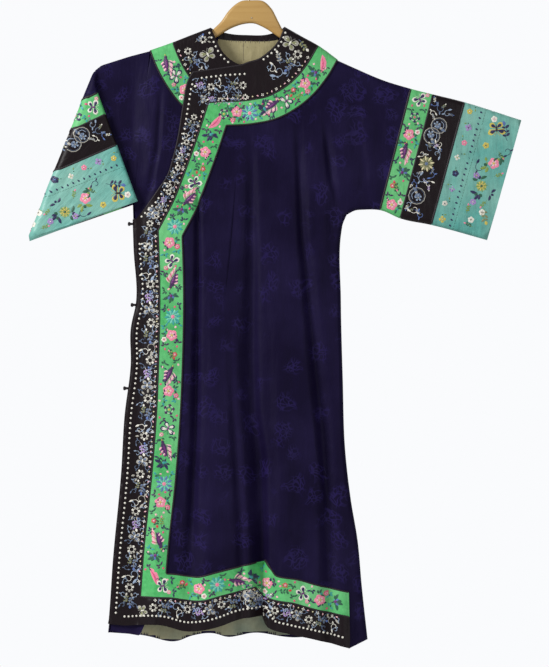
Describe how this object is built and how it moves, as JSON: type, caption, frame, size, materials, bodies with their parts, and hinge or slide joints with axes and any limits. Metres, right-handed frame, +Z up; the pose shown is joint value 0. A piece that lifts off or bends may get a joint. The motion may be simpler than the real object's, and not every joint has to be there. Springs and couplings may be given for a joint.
{
  "type": "embroidered robe on a wooden hanger",
  "caption": "Wide-sleeved silk robe with a side closing, embroidered borders and turquoise cuffs, hung flat on an arched wooden hanger, one sleeve folded forward.",
  "frame": {"origin": "inner top of the hanger's hook, where a rail carries it", "axes": "+Z up, +X towards the open sleeve, the front faces -Y"},
  "size_m": [1.0364, 0.0767, 1.423],
  "materials": {
    "navy_silk": "soft sheen, woven damask silk",
    "black_satin": "satin with a soft sheen",
    "green_ribbon": "woven silk ribbon, satin sheen",
    "turquoise_satin": "satin with a soft sheen",
    "beige_lining": "plain silk, dull",
    "grey_green_lining": "plain silk, dull",
    "light_wood": "sanded and oiled",
    "steel_wire": "bright drawn wire"
  },
  "bodies": {
    "root": {"hanger_wood": "light_wood", "hanger_hook": "steel_wire", "front_outer": "navy_silk", "front_under": "navy_silk", "back": "navy_silk", "sleeve_right": "navy_silk", "sleeve_left": "navy_silk", "band_green_right": "green_ribbon", "band_green_left": "green_ribbon", "band_black_right": "black_satin", "band_black_left": "black_satin", "cuff_right": "turquoise_satin", "cuff_left": "turquoise_satin", "facing_neck": "black_satin", "lining_neck": "beige_lining", "lining_hem": "grey_green_lining", "knot_top": "black_satin", "knot_middle": "black_satin", "knot_low": "black_satin", "black_yoke": "black_satin", "green_yoke": "green_ribbon", "black_flap": "black_satin", "green_flap": "green_ribbon", "black_side": "black_satin", "green_side": "green_ribbon", "black_hem": "black_satin", "green_hem": "green_ribbon", "black_under": "black_satin", "green_under": "green_ribbon", "black_back": "black_satin", "green_back": "green_ribbon"}
  },
  "joints": []
}
